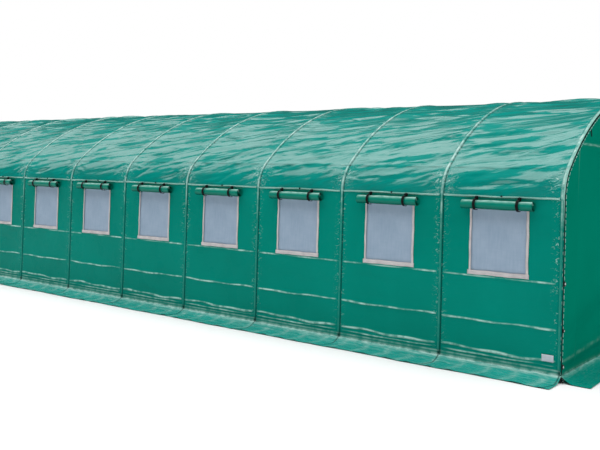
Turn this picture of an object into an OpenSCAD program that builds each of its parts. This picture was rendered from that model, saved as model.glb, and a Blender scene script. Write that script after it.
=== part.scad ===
// Polytunnel greenhouse: a row of bent steel hoops tied by straight tubes, with
// a reinforced sheet over them, netted windows with rolled flaps along both
// long sides, and a doorway with a rolled door at each end.
// Millimetres. X runs along the tunnel, Y across it, Z up.
// The origin is on the ground, in the middle of the plan.

/* [Tunnel] */
// Number of bays between hoops
bays = 10; // [2:1:12]
// Distance between the centres of two hoops
bay = 900; // [700:10:1400]
// Width over the sheet, from wall to wall
tunnel_w = 3000; // [2400:10:4000]
// Height over the sheet, from the ground to the ridge
tunnel_h = 2000; // [1850:10:2600]
// Height at which the upright walls end and the arch starts
eave_h = 1195; // [1100:5:1300]
// Radius of the tight bend between wall and roof
shoulder_r = 300; // [150:10:450]

/* [Frame] */
// Diameter of the hoops and of the tubes between them
tube_d = 25; // [16:1:38]
// Number of tubes that make a hoop's roof arc
arc_tubes = 4; // [2:1:8]
// Height of the low rail on the long walls
low_rail_h = 335; // [250:5:500]
// Height of the rail just under the windows
waist_rail_h = 640; // [560:5:700]
// Height of the tubes that tie the hoops' feet
base_rail_h = 100; // [75:1:150]
// Gap between a tube and what it seats on
seat_gap = 0.3; // [0.1:0.1:0.6]

/* [Sheet] */
// Thickness of the sheet
sheet_t = 3; // [1:0.5:5]
// Number of strips welded into each half of the roof sheet
roof_strips = 4; // [2:1:8]
// Height at which the walls turn out into the ground skirt
fold_h = 46; // [30:1:60]
// Reach of the skirt on the ground, out from the wall
skirt_w = 200; // [100:5:350]
// Width of the skirt's sloping part
skirt_slope_w = 80; // [40:5:100]

/* [Windows] */
// Width of a window opening
window_w = 420; // [300:5:560]
// Height of a window opening
window_h = 450; // [300:5:480]
// Height of the opening's lower edge
window_sill_h = 675; // [600:5:800]
// Width by which the net laps the wall around the opening
net_lap = 20; // [10:1:40]
// Thickness of the net
net_t = 1.5; // [1:0.5:3]
// Diameter of a rolled window flap
roll_d = 74; // [40:1:90]
// Length of a rolled window flap
roll_len = 540; // [400:5:640]
// Height of the rolled flap's centre
roll_h = 1140; // [1050:5:1250]
// Width of the straps that hold a roll
strap_w = 16; // [8:1:30]
// Thickness of the straps
strap_t = 2; // [1:0.5:4]
// Distance between the two straps of a window roll
strap_span = 320; // [150:5:400]

/* [Doors] */
// Width of the doorway between its posts
door_w = 1000; // [700:10:1200]
// Height of the doorway under its top tube
door_h = 1565; // [1350:5:1650]
// Diameter of the rolled door
door_roll_d = 90; // [60:1:140]
// Distance between the two straps of a rolled door
door_strap_span = 620; // [300:10:900]

/* [Label] */
// Width of the blank label
label_w = 82; // [40:1:150]
// Height of the blank label
label_h = 46; // [30:1:100]
// Thickness of the blank label
label_t = 1; // [0.5:0.5:3]
// Distance of the label's centre from the end hoop
label_from_hoop = 75; // [60:1:200]
// Height of the label's centre
label_z = 150; // [120:5:300]

/* [Hidden] */
tube_r = tube_d / 2;
half_w = tunnel_w / 2;
rise = tunnel_h - eave_h;
// The crown arc is tangent to both shoulder arcs and passes over the ridge
crown_r = (pow(half_w - shoulder_r, 2) + rise * rise - shoulder_r * shoulder_r)
    / (2 * (rise - shoulder_r));
crown_z = tunnel_h - crown_r;
shoulder_y = half_w - shoulder_r;
shoulder_a = atan2(eave_h - crown_z, shoulder_y);
crown_a = 90 - shoulder_a;

// Hoops stand half a bay either side of the middle, and the sheet wraps the
// end hoops
seat = sheet_t + seat_gap;
frame_len = bays * bay;
tunnel_len = frame_len + 2 * (tube_r + seat);
end_x = tunnel_len / 2;
hoop_in = seat + tube_r;
tube_y = half_w - hoop_in;
cut = 5;
roll_y = half_w + seat_gap + roll_d / 2;
door_roll_x = end_x + seat_gap + door_roll_d / 2;
door_roll_h = door_h + tube_d + door_roll_d / 2;
post_y = door_w / 2 + tube_r;
header_z = door_h + tube_r;
frame_x = frame_len / 2;

FRONT = -1;
BACK = 1;
LEFT = -1;
RIGHT = 1;

HOOPS = [for (i = [1 : bays + 1]) str("hoop_", i)];
$fn = 48;

// Place of hoop number i, counted from the left end
function hoop_x(i) = -frame_x + (i - 1) * bay;

// Middle of bay number i
function bay_x(i) = hoop_x(i) + bay / 2;

// Lays a shape drawn in the Y-Z plane along X, from x to x + len
module along_x(x, len) {
    translate([x, 0, 0]) rotate([90, 0, 90]) linear_extrude(len) children();
}

// A round bar along X
module bar_x(x, y, z, len, r) {
    translate([x, y, z]) rotate([0, 90, 0]) cylinder(r = r, h = len);
}

// A round bar along Y
module bar_y(x, y, z, len, r) {
    translate([x, y, z]) rotate([-90, 0, 0]) cylinder(r = r, h = len);
}

// Bends a shape about an axis along X at (y, z), from angle a, through sweep
// degrees, starting on the +Y side. The shape's X is the distance from the axis.
module bend(y, z, a, sweep) {
    translate([0, y, z]) rotate([90, 0, 90]) rotate([0, 0, a])
        rotate_extrude(angle = sweep, $fn = 180) children();
}

// Puts a shape made for the +Y side on the front or the back
module on_side(side) {
    if (side == BACK) children();
    else mirror([0, 1, 0]) children();
}

// Puts a shape made for the +X end on the left or the right
module on_end(end) {
    if (end == RIGHT) children();
    else mirror([1, 0, 0]) children();
}

/* Frame */

// One hoop of tubes, butted end to end: two legs, two tight bends and those of
// the roof arc
module hoop(i) {
    butt_a = seat_gap / (crown_r - hoop_in) * 180 / PI;
    tube_a = 2 * crown_a / arc_tubes;
    color("silver") translate([hoop_x(i), 0, 0]) {
        for (side = [FRONT, BACK]) on_side(side) {
            translate([0, tube_y, 0]) cylinder(r = tube_r, h = eave_h - seat_gap);
            bend(shoulder_y, eave_h, 0, shoulder_a)
                translate([shoulder_r - hoop_in, 0]) circle(tube_r);
        }
        for (k = [0 : arc_tubes - 1])
            bend(0, crown_z, shoulder_a + k * tube_a + butt_a / 2 + (k == 0 ? butt_a / 2 : 0),
                tube_a - butt_a - (k == 0 || k == arc_tubes - 1 ? butt_a / 2 : 0))
                translate([crown_r - hoop_in, 0]) circle(tube_r);
    }
}

// A row of tubes between the hoops, butted against them
module tube_row(y, z) {
    color("silver") for (i = [1 : bays])
        bar_x(hoop_x(i) + tube_r + seat_gap, y, z, bay - tube_d - 2 * seat_gap, tube_r);
}

module ridge_tube() {
    tube_row(0, tunnel_h - hoop_in);
}

module shoulder_tube(side) {
    tube_row(side * (crown_r - hoop_in) * cos(shoulder_a),
        crown_z + (crown_r - hoop_in) * sin(shoulder_a));
}

module wall_tube(side, z) {
    tube_row(side * tube_y, z);
}

// The tubes that tie the end hoop's feet to the door posts
module base_rail_end(end) {
    y = post_y + tube_r + seat_gap;
    color("silver") for (side = [FRONT, BACK]) on_side(side)
        bar_y(end * frame_x, y, base_rail_h, tube_y - tube_r - seat_gap - y, tube_r);
}

// Two posts that run up to the hoop, and a tube from side to side of the hoop
// that crosses them over the doorway
module door_frame(end) {
    inside_r = crown_r - hoop_in - tube_r - seat_gap;
    post_top = crown_z + sqrt(pow(inside_r, 2) - pow(post_y + tube_r, 2));
    header_y = sqrt(pow(inside_r, 2) - pow(header_z + tube_r - crown_z, 2));
    color("silver") {
        for (side = [FRONT, BACK])
            translate([end * frame_x, side * post_y, 0]) cylinder(r = tube_r, h = post_top);
        bar_y(end * frame_x, -header_y, header_z, 2 * header_y, tube_r);
    }
}

/* Sheet */

// Half of the sheet over the crown, in strips that meet at their welds
module roof_sheet(side) {
    weld_a = seat_gap / crown_r * 180 / PI;
    strip_a = crown_a / roof_strips;
    color("teal") on_side(side) translate([-end_x, 0, crown_z]) rotate([90, 0, 90])
        for (k = [0 : roof_strips - 1]) {
            from = shoulder_a + k * strip_a;
            sheet_arc(crown_r, from, from + strip_a - weld_a);
        }
}

// The sheet over one tight bend
module shoulder_sheet(side) {
    color("teal") on_side(side) translate([-end_x, shoulder_y, eave_h])
        rotate([90, 0, 90]) sheet_arc(shoulder_r, 0, shoulder_a);
}

// A sector of a thin ring, the sheet's thickness wide, as long as the tunnel
module sheet_arc(r, from, to) {
    rotate([0, 0, from]) rotate_extrude(angle = to - from, $fn = 180)
        translate([r - sheet_t, 0]) square([sheet_t, tunnel_len]);
}

module side_wall(side) {
    color("seagreen") on_side(side) difference() {
        translate([-end_x, half_w - sheet_t, fold_h])
            cube([tunnel_len, sheet_t, eave_h - fold_h]);
        for (i = [1 : bays])
            translate([bay_x(i) - window_w / 2, half_w - sheet_t - cut, window_sill_h])
                cube([window_w, sheet_t + 2 * cut, window_h]);
    }
}

// Nets on the inner face of the wall, one for each window
module window_nets(side) {
    color("lightsteelblue") on_side(side) for (i = [1 : bays])
        translate([bay_x(i) - window_w / 2 - net_lap, half_w - sheet_t - net_t,
            window_sill_h - net_lap])
            cube([window_w + 2 * net_lap, net_t, window_h + 2 * net_lap]);
}

// The window flaps, rolled up and tied over each window
module window_rolls(side) {
    color("seagreen") on_side(side) for (i = [1 : bays])
        bar_x(bay_x(i) - roll_len / 2, roll_y, roll_h, roll_len, roll_d / 2);
}

// A flat band round a roll that lies along X
module strap_ring(x, y, z, d, w) {
    translate([x - w / 2, y, z]) rotate([0, 90, 0]) difference() {
        cylinder(d = d + 2 * seat_gap + 2 * strap_t, h = w);
        translate([0, 0, -cut]) cylinder(d = d + 2 * seat_gap, h = w + 2 * cut);
    }
}

// The straps stop at the wall's face, where they are sewn on
module roll_straps(side) {
    color("black") on_side(side) difference() {
        for (i = [1 : bays], end = [LEFT, RIGHT])
            strap_ring(bay_x(i) + end * strap_span / 2, roll_y, roll_h, roll_d, strap_w);
        translate([-end_x, 0, roll_h - roll_d])
            cube([tunnel_len, half_w + seat_gap, 2 * roll_d]);
    }
}

// The outline inside the roof and the walls, in the Y-Z plane. The wedge cuts
// the crown's circle off where the tight bends begin, and the square keeps it
// above the fold.
module end_outline() {
    inner = half_w - sheet_t;
    far = 2 * crown_r;
    translate([-inner, fold_h]) square([2 * inner, eave_h - fold_h]);
    for (side = [FRONT, BACK])
        translate([side * shoulder_y, eave_h]) circle(shoulder_r - sheet_t, $fn = 180);
    intersection() {
        translate([0, crown_z]) circle(crown_r - sheet_t, $fn = 360);
        polygon([[0, crown_z], [far * cos(shoulder_a), crown_z + far * sin(shoulder_a)],
            [0, crown_z + 2 * far], [-far * cos(shoulder_a), crown_z + far * sin(shoulder_a)]]);
        translate([-half_w, fold_h]) square([2 * half_w, tunnel_h]);
    }
}

// The end wall beside the doorway
module end_wall_side(end, side) {
    color("seagreen") on_end(end) on_side(side) along_x(end_x - sheet_t, sheet_t)
        intersection() {
            end_outline();
            translate([door_w / 2, 0]) square([half_w, tunnel_h]);
        }
}

// The end wall over the doorway
module end_wall_top(end) {
    color("seagreen") on_end(end) along_x(end_x - sheet_t, sheet_t)
        intersection() {
            end_outline();
            translate([-door_w / 2, door_h]) square([door_w, tunnel_h]);
        }
}

// The door sheet, rolled up over the doorway
module rolled_door(end) {
    color("seagreen") on_end(end)
        bar_y(door_roll_x, -door_w / 2, door_roll_h, door_w, door_roll_d / 2);
}

module door_straps(end) {
    color("black") on_end(end) difference() {
        for (side = [FRONT, BACK])
            translate([door_roll_x, side * door_strap_span / 2, 0]) rotate([0, 0, 90])
                strap_ring(0, 0, door_roll_h, door_roll_d, strap_w);
        translate([end_x - door_w, -door_w / 2, door_roll_h - door_roll_d])
            cube([door_w + seat_gap, door_w, 2 * door_roll_d]);
    }
}

// The skirt's section: it slopes out from the wall and lies on the ground
module skirt_section() {
    polygon([[-sheet_t, fold_h], [0, fold_h],
        [skirt_slope_w / 3, fold_h / 3 + sheet_t], [skirt_slope_w, sheet_t],
        [skirt_w, sheet_t], [skirt_w, 0], [skirt_slope_w, 0],
        [skirt_slope_w / 3 - sheet_t, fold_h / 3]]);
}

module skirt_side(side) {
    color("darkgreen") on_side(side) along_x(-end_x, tunnel_len)
        translate([half_w, 0]) skirt_section();
}

// The end skirts stop at the doorway and at the corners
module skirt_end(end) {
    color("darkgreen") on_end(end) for (side = [FRONT, BACK]) on_side(side)
        translate([end_x, half_w - sheet_t, 0]) rotate([90, 0, 0])
            linear_extrude(half_w - sheet_t - door_w / 2) skirt_section();
}

module blank_label() {
    color("white") translate([frame_x - label_from_hoop - label_w / 2,
        -half_w - seat_gap - label_t, label_z - label_h / 2])
        cube([label_w, label_t, label_h]);
}

for (i = [1 : bays + 1])
    hoop(i);
ridge_tube();
shoulder_tube(FRONT);  // shoulder_tube_front
shoulder_tube(BACK);  // shoulder_tube_back
wall_tube(FRONT, eave_h);  // eave_tube_front
wall_tube(BACK, eave_h);  // eave_tube_back
wall_tube(FRONT, waist_rail_h);  // waist_rail_front
wall_tube(BACK, waist_rail_h);  // waist_rail_back
wall_tube(FRONT, low_rail_h);  // low_rail_front
wall_tube(BACK, low_rail_h);  // low_rail_back
wall_tube(FRONT, base_rail_h);  // base_rail_front
wall_tube(BACK, base_rail_h);  // base_rail_back
base_rail_end(LEFT);  // base_rail_left
base_rail_end(RIGHT);  // base_rail_right
door_frame(LEFT);  // door_frame_left
door_frame(RIGHT);  // door_frame_right
roof_sheet(FRONT);  // roof_sheet_front
roof_sheet(BACK);  // roof_sheet_back
shoulder_sheet(FRONT);  // shoulder_sheet_front
shoulder_sheet(BACK);  // shoulder_sheet_back
side_wall(FRONT);  // side_wall_front
side_wall(BACK);  // side_wall_back
window_nets(FRONT);  // window_nets_front
window_nets(BACK);  // window_nets_back
window_rolls(FRONT);  // window_rolls_front
window_rolls(BACK);  // window_rolls_back
roll_straps(FRONT);  // roll_straps_front
roll_straps(BACK);  // roll_straps_back
end_wall_side(LEFT, FRONT);  // end_wall_left_front
end_wall_side(LEFT, BACK);  // end_wall_left_back
end_wall_top(LEFT);  // end_wall_left_top
end_wall_side(RIGHT, FRONT);  // end_wall_right_front
end_wall_side(RIGHT, BACK);  // end_wall_right_back
end_wall_top(RIGHT);  // end_wall_right_top
rolled_door(LEFT);  // rolled_door_left
rolled_door(RIGHT);  // rolled_door_right
door_straps(LEFT);  // door_straps_left
door_straps(RIGHT);  // door_straps_right
skirt_side(FRONT);  // skirt_front
skirt_side(BACK);  // skirt_back
skirt_end(LEFT);  // skirt_left
skirt_end(RIGHT);  // skirt_right
blank_label();
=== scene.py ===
"""Polytunnel greenhouse: the creased sheet, nets, rolled flaps, skirts and fittings on its tube frame."""

import math

import bpy
import numpy as np
from mathutils import Matrix, Vector


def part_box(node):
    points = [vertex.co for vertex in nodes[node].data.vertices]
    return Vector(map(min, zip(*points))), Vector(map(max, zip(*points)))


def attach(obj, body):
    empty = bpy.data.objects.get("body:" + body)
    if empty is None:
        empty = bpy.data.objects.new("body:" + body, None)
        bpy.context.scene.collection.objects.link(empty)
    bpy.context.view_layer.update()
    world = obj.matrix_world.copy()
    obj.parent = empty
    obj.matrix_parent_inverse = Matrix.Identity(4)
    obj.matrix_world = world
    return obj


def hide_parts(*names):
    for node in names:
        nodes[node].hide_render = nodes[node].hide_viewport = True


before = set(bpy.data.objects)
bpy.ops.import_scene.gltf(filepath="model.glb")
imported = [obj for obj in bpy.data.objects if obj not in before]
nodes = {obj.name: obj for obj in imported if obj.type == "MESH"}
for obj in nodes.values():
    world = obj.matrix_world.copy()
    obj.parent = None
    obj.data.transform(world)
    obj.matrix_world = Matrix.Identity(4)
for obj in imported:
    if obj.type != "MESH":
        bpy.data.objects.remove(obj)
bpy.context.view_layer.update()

# ---------------------------------------------------------------- sizes from the frame, in metres

FRONT, BACK = -1, 1
LEFT, RIGHT = -1, 1
SIDE_NAMES = {FRONT: "front", BACK: "back"}
END_NAMES = {LEFT: "left", RIGHT: "right"}


def middle(node):
    low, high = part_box(node)
    return (low + high) / 2


hoop_names = sorted((n for n in nodes if n.startswith("hoop_")), key=lambda n: int(n.split("_")[1]))
hoop_xs = np.array([middle(n).x for n in hoop_names])
bay = hoop_xs[1] - hoop_xs[0]
bay_xs = (hoop_xs[:-1] + hoop_xs[1:]) / 2
tube_r = (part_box("hoop_1")[1].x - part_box("hoop_1")[0].x) / 2

wall_low, wall_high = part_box("side_wall_back")
half_w = wall_high.y
end_x = wall_high.x
fold_z = wall_low.z
eave_z = wall_high.z
ridge_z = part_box("roof_sheet_back")[1].z
skirt_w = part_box("skirt_back")[1].y - half_w
tube_y = middle("base_rail_back").y

rail_z = {name: middle(f"{name}_back").z for name in ("base_rail", "low_rail", "waist_rail", "eave_tube")}

net_low, net_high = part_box("window_nets_back")
NET_LAP = 0.020
window_low_z, window_high_z = net_low.z + NET_LAP, net_high.z - NET_LAP
window_half_w = net_high.x - NET_LAP - bay_xs[-1]

roll_low, roll_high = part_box("window_rolls_back")
roll_r = (roll_high.z - roll_low.z) / 2
roll_y = roll_low.y + roll_r
roll_z = roll_low.z + roll_r
roll_half = roll_high.x - bay_xs[-1]
STRAP_HALF_W = 0.008
strap_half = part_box("roll_straps_back")[1].x - bay_xs[-1] - STRAP_HALF_W

door_low, door_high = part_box("rolled_door_right")
door_roll_half = door_high.y
door_roll_r = (door_high.z - door_low.z) / 2
door_roll_x = door_high.x - door_roll_r
door_roll_z = door_high.z - door_roll_r
door_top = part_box("end_wall_right_top")[0].z
door_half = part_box("end_wall_right_back")[0].y
door_strap_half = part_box("door_straps_right")[1].y - STRAP_HALF_W
header_z = door_roll_z - door_roll_r - tube_r

# The section: an upright wall, a tight bend and a wide crown, each arc tangent to the next
SHOULDER_R = 0.300
rise = ridge_z - eave_z
shoulder_y = half_w - SHOULDER_R
crown_r = (shoulder_y**2 + rise**2 - SHOULDER_R**2) / (2 * (rise - SHOULDER_R))
crown_z = ridge_z - crown_r
shoulder_a = math.atan2(eave_z - crown_z, shoulder_y)
wall_len = eave_z - fold_z
bend_len = SHOULDER_R * shoulder_a
crown_len = crown_r * (math.pi / 2 - shoulder_a)
roof_len = bend_len + crown_len

root = "root"
rng = np.random.default_rng(11)


def section(s, out, side):
    """Y and Z of a point s up the sheet from its ground fold, and out from its outer face."""
    s = np.asarray(s, float)
    turn = np.clip((s - wall_len) / SHOULDER_R, 0, shoulder_a)
    turn = turn + np.clip((s - wall_len - bend_len) / crown_r, 0, None)
    on_crown = s > wall_len + bend_len
    radius = np.where(on_crown, crown_r, SHOULDER_R)
    y = np.where(on_crown, 0.0, shoulder_y) + radius * np.cos(turn)
    z = np.where(on_crown, crown_z, eave_z) + radius * np.sin(turn)
    z = np.where(s < wall_len, fold_z + s, z)
    return side * (y + out * np.cos(turn)), z + out * np.sin(turn)


def height_to_s(z):
    return z - fold_z


# ---------------------------------------------------------------- camera, light and floor

LENS, SHIFT_X, SHIFT_Y = 45.7, -0.10, -0.10
STAND_RIGHT, STAND_OUT, STAND_HEIGHT = 1.807, 4.83, 1.299
YAW, PITCH, ROLL = 0.619, 0.017, 0.028

# The overhead strip: its strength, where it fades in and out across the tunnel, and along it
STRIP_LIGHT, HORIZON_LIGHT = 2.30, 0.04
FRONT_EDGE, BACK_EDGE = (-0.82, -0.62), (0.34, 0.72)
FADE_FROM, FADE_TO, FADED = 0.5, 0.95, 0.40
FLOOR_SIZE, FLOOR_DROP = 80, 0.002


def add_node(tree, kind, inputs=None, **settings):
    """A shader node with its settings, and a value or a link on each input named."""
    node = tree.nodes.new(kind)
    for name, value in settings.items():
        setattr(node, name, value)
    for name, value in (inputs or {}).items():
        if isinstance(value, bpy.types.NodeSocket):
            tree.links.new(value, node.inputs[name])
        else:
            node.inputs[name].default_value = value
    return node


def camera():
    data = bpy.data.cameras.new("camera")
    data.sensor_width = 36.0
    data.lens = LENS
    data.shift_x = SHIFT_X
    data.shift_y = SHIFT_Y
    cam = bpy.data.objects.new("camera", data)
    bpy.context.scene.collection.objects.link(cam)
    # The stand is out from the near corner, at a person's chest height
    stand = Vector((hoop_xs[-1] + STAND_RIGHT, -half_w - STAND_OUT, STAND_HEIGHT))
    ahead = Vector((-math.sin(YAW) * math.cos(PITCH), math.cos(YAW) * math.cos(PITCH), math.sin(PITCH)))
    across = Vector((math.cos(YAW), math.sin(YAW), 0))
    upward = across.cross(ahead)
    x_axis = across * math.cos(ROLL) + upward * math.sin(ROLL)
    y_axis = upward * math.cos(ROLL) - across * math.sin(ROLL)
    turn = Matrix((x_axis, y_axis, -ahead)).transposed()
    cam.matrix_world = Matrix.Translation(stand) @ turn.to_4x4()
    bpy.context.scene.camera = cam


def studio():
    """A long soft light overhead, parallel to the tunnel, dim horizons, and a white backdrop."""
    bpy.context.scene.view_settings.view_transform = "Standard"
    world = bpy.data.worlds.new("studio")
    world.use_nodes = True
    tree = world.node_tree
    soft = tree.nodes["Background"]

    def add(kind, inputs=None, **settings):
        return add_node(tree, kind, inputs, **settings)

    ways = add("ShaderNodeSeparateXYZ", {0: add("ShaderNodeTexCoord").outputs["Generated"]})
    y, z = ways.outputs["Y"], ways.outputs["Z"]
    flat = add("ShaderNodeCombineXYZ", {"Y": y, "Z": z}).outputs[0]
    reach = add("ShaderNodeVectorMath", {0: flat}, operation="LENGTH").outputs["Value"]
    lean = add("ShaderNodeMath", {0: y, 1: reach}, operation="DIVIDE").outputs[0]
    front, back = (
        add("ShaderNodeMapRange",
            {"Value": lean, "From Min": low, "From Max": high, "To Min": begin, "To Max": end},
            interpolation_type="SMOOTHSTEP").outputs["Result"]
        for (low, high), begin, end in ((FRONT_EDGE, 0.0, 1.0), (BACK_EDGE, 1.0, 0.0))
    )
    above = add("ShaderNodeMath", {0: z, 1: 0.0}, operation="GREATER_THAN").outputs[0]
    strip = add("ShaderNodeMath", {0: front, 1: back}, operation="MULTIPLY").outputs[0]
    strip = add("ShaderNodeMath", {0: strip, 1: above}, operation="MULTIPLY").outputs[0]
    strip = add("ShaderNodeMapRange",
                {"Value": strip, "To Min": HORIZON_LIGHT, "To Max": STRIP_LIGHT}).outputs["Result"]
    along = add("ShaderNodeMath", {0: ways.outputs["X"]}, operation="ABSOLUTE").outputs[0]
    fade = add("ShaderNodeMapRange", {"Value": along, "From Min": FADE_FROM, "From Max": FADE_TO,
                                      "To Min": 1.0, "To Max": FADED}).outputs["Result"]
    tree.links.new(add("ShaderNodeMath", {0: strip, 1: fade}, operation="MULTIPLY").outputs[0],
                   soft.inputs["Strength"])
    white = add("ShaderNodeBackground", {"Strength": 1.0})
    both = add("ShaderNodeMixShader", {0: add("ShaderNodeLightPath").outputs["Is Camera Ray"],
                                       1: soft.outputs[0], 2: white.outputs[0]})
    tree.links.new(both.outputs[0], tree.nodes["World Output"].inputs["Surface"])
    for shader in (soft, white):
        shader.inputs["Color"].default_value = (1, 1, 1, 1)
    bpy.context.scene.world = world

    start()
    bpy.ops.mesh.primitive_plane_add(size=FLOOR_SIZE, location=(0, 0, -FLOOR_DROP))
    floor = bpy.context.object
    floor.name = "floor"
    mat = bpy.data.materials.new("pale_floor")
    mat.use_nodes = True
    shader = mat.node_tree.nodes["Principled BSDF"]
    shader.inputs["Base Color"].default_value = (0.92, 0.92, 0.92, 1)
    shader.inputs["Roughness"].default_value = 0.9
    shader.inputs["Specular IOR Level"].default_value = 0.2
    floor.data.materials.append(mat)


# ---------------------------------------------------------------- materials

# Colours mixed over the film: a pale painted highlight and a dark painted shade
PAINTED_HIGHLIGHT_COLOUR = (0.46, 0.72, 0.65)
PAINTED_SHADE_COLOUR = (0.000, 0.035, 0.028)
PUCKER_HIGHLIGHT_CUT = (0.58, 0.67)  # how much of the noise turns into pale pucker marks, a painted highlight
SHINE_CUT = (0.455, 0.515)  # and how much of it into shining streaks
THREAD_DEPTH, FINE_DEPTH, GATHER_DEPTH, FOLD_DEPTH = 0.0004, 0.006, 0.012, 0.030


class Nodes:
    """A short way to add shader nodes to one material."""

    def __init__(self, name, roughness, **constants):
        self.mat = bpy.data.materials.new(name)
        self.mat.use_nodes = True
        self.tree = self.mat.node_tree
        self.shader = self.tree.nodes["Principled BSDF"]
        self.shader.inputs["Roughness"].default_value = roughness
        for socket, value in constants.items():
            self.shader.inputs[socket.replace("_", " ")].default_value = value

    def add(self, kind, inputs=None, **settings):
        return add_node(self.tree, kind, inputs, **settings)

    def coordinates(self, source, scale=(1, 1, 1), turn=0.0):
        """Coordinates turned first and then scaled, so a pattern can be drawn out along any line."""
        plain = self.add("ShaderNodeTexCoord")
        finer = tuple(1 / s for s in scale)
        return self.add("ShaderNodeMapping",
                        {"Vector": plain.outputs[source], "Scale": finer, "Rotation": (0, 0, turn)},
                        vector_type="TEXTURE").outputs["Vector"]

    def attribute(self, name):
        return self.add("ShaderNodeAttribute", attribute_name=name).outputs["Fac"]

    def mix(self, factor, one, other):
        """Two colours mixed, each a linked one or a plain (r, g, b)."""
        one, other = (c if isinstance(c, bpy.types.NodeSocket) else (*c, 1) for c in (one, other))
        return self.add("ShaderNodeMix", {0: factor, 6: one, 7: other}, data_type="RGBA").outputs[2]

    def noise(self, where, scale, detail=3.0, roughness=0.5, distortion=0.0):
        return self.add(
            "ShaderNodeTexNoise",
            {"Vector": where, "Scale": scale, "Detail": detail, "Roughness": roughness,
             "Distortion": distortion},
        ).outputs[0]

    def spread(self, value, low, high, to_low=0.0, to_high=1.0):
        return self.add(
            "ShaderNodeMapRange",
            {"Value": value, "From Min": low, "From Max": high, "To Min": to_low, "To Max": to_high},
        ).outputs["Result"]

    def ramp(self, value, *stops):
        node = self.add("ShaderNodeValToRGB", {"Fac": value})
        ends = node.color_ramp.elements
        while len(ends) < len(stops):
            ends.new(0.5)
        for end, (place, colour) in zip(ends, stops):
            end.position = place
            end.color = (*colour, 1)
        return node.outputs["Color"]

    def threads(self, where, scale, distortion, way):
        """Even threads or ribs, that run across one way of the coordinates."""
        return self.add("ShaderNodeTexWave", {"Vector": where, "Scale": scale, "Distortion": distortion},
                        bands_direction=way).outputs["Fac"]

    def math(self, operation, a, b):
        return self.add("ShaderNodeMath", {0: a, 1: b}, operation=operation).outputs[0]

    def bump(self, height, strength, distance, normal=None):
        inputs = {"Height": height, "Strength": strength, "Distance": distance}
        if normal is not None:
            inputs["Normal"] = normal
        return self.add("ShaderNodeBump", inputs).outputs["Normal"]

    def link(self, output, socket):
        self.tree.links.new(output, self.shader.inputs[socket])
        return self


def film(name, deep, light, crease, streak_turn, gloss, rough=(0.22, 0.36), dull=None):
    """Reinforced film: a glossy skin over a fine scrim. Its long creases and short puckers follow the
    cloth's UV map. Its attributes give a painted highlight, a painted shade, and where it is gathered,
    where pale pucker marks are painted highlights too. A film with a dull value also has long streaks of
    more and less shine."""
    n = Nodes(name, 0.3, Specular_IOR_Level=gloss)
    flat = n.coordinates("UV")
    patches = n.noise(flat, 1.3, 4.0, 0.55)
    colour = n.ramp(n.spread(patches, 0.3, 0.7), (0.0, deep), (1.0, light))
    beats = n.spread(n.noise(flat, 16.0, 3.0), 0.38, 0.60, 0.25, 1.0)
    # the painted highlight, broken up by noise
    patchy_highlight = n.math("MULTIPLY", n.attribute("painted_highlight"), beats)
    # pale pucker marks where the film is gathered: a painted highlight
    curls = n.noise(n.coordinates("UV", (26, 44, 1), streak_turn), 1.0, 3.0, 0.6, 1.6)
    marks = n.spread(curls, *PUCKER_HIGHLIGHT_CUT)
    puckers = n.math("MULTIPLY", marks, n.attribute("gathered"))
    colour = n.mix(n.math("MAXIMUM", patchy_highlight, puckers), colour, PAINTED_HIGHLIGHT_COLOUR)
    # a dark painted shade, mixed in where its attribute is high
    colour = n.mix(n.attribute("painted_shade"), colour, PAINTED_SHADE_COLOUR)
    n.link(colour, "Base Color")
    n.link(n.spread(n.noise(flat, 5.0, 3.0), 0.3, 0.7, *rough), "Roughness")
    if dull is not None:
        drawn_out = n.noise(n.coordinates("UV", (2.1, 16, 1), streak_turn), 1.0, 3.0, 0.55, 0.6)
        short = n.noise(n.coordinates("UV", (8, 40, 1), 2 * streak_turn), 1.0, 3.0, 0.6, 0.4)
        streaks = n.math("ADD", n.math("MULTIPLY", drawn_out, 0.80), n.math("MULTIPLY", short, 0.20))
        shine = n.spread(streaks, *SHINE_CUT, dull, gloss)
        # less shine where the shade is painted
        shine_where_shaded = n.spread(n.attribute("painted_shade"), 0.0, 1.0, 1.0, 0.1)
        n.link(n.math("MULTIPLY", shine, shine_where_shaded), "Specular IOR Level")
    folds = n.noise(n.coordinates("UV", (1.6, 8.0, 1), streak_turn), 1.0, 3.0)
    fine = n.noise(n.coordinates("UV", (7, 34, 1), streak_turn), 1.0, 3.0)
    gathers = n.math("MULTIPLY", n.noise(n.coordinates("UV", (18, 60, 1), streak_turn * 2), 1.0, 2.0),
                     n.attribute("gathered"))
    scrim = n.math("MAXIMUM", *[n.threads(flat, 120.0, 0.4, way) for way in ("X", "Y")])
    normal = n.bump(scrim, 0.12, THREAD_DEPTH)
    normal = n.bump(fine, 0.5 * crease, FINE_DEPTH, normal)
    normal = n.bump(gathers, 0.7, GATHER_DEPTH, normal)
    normal = n.bump(folds, crease, FOLD_DEPTH, normal)
    n.link(normal, "Normal")
    return n.mat


def net_cloth():
    """Fine window net: a weave with thicker threads here and there, and a haze over it."""
    n = Nodes("window_net", 0.62, Specular_IOR_Level=0.35)
    flat = n.coordinates("UV")
    weave = n.math("MAXIMUM", *[n.threads(flat, 90.0, 0.6, way) for way in ("X", "Y")])
    slub = n.noise(n.coordinates("UV", (75, 9, 1)), 1.0, 4.0)
    cross_slub = n.noise(n.coordinates("UV", (11, 60, 1)), 1.0, 3.0)
    haze = n.noise(flat, 6.0, 3.0)
    tone = n.math("ADD", n.math("MULTIPLY", slub, 0.35), n.math("MULTIPLY", cross_slub, 0.15))
    tone = n.math("ADD", tone, n.math("MULTIPLY", haze, 0.5))
    blues = n.ramp(n.spread(tone, 0.35, 0.65), (0.0, (0.27, 0.37, 0.49)), (1.0, (0.34, 0.44, 0.56)))
    n.link(blues, "Base Color")
    normal = n.bump(weave, 0.5, 0.0006)
    n.link(n.bump(slub, 0.3, 0.002, normal), "Normal")
    return n.mat


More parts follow.
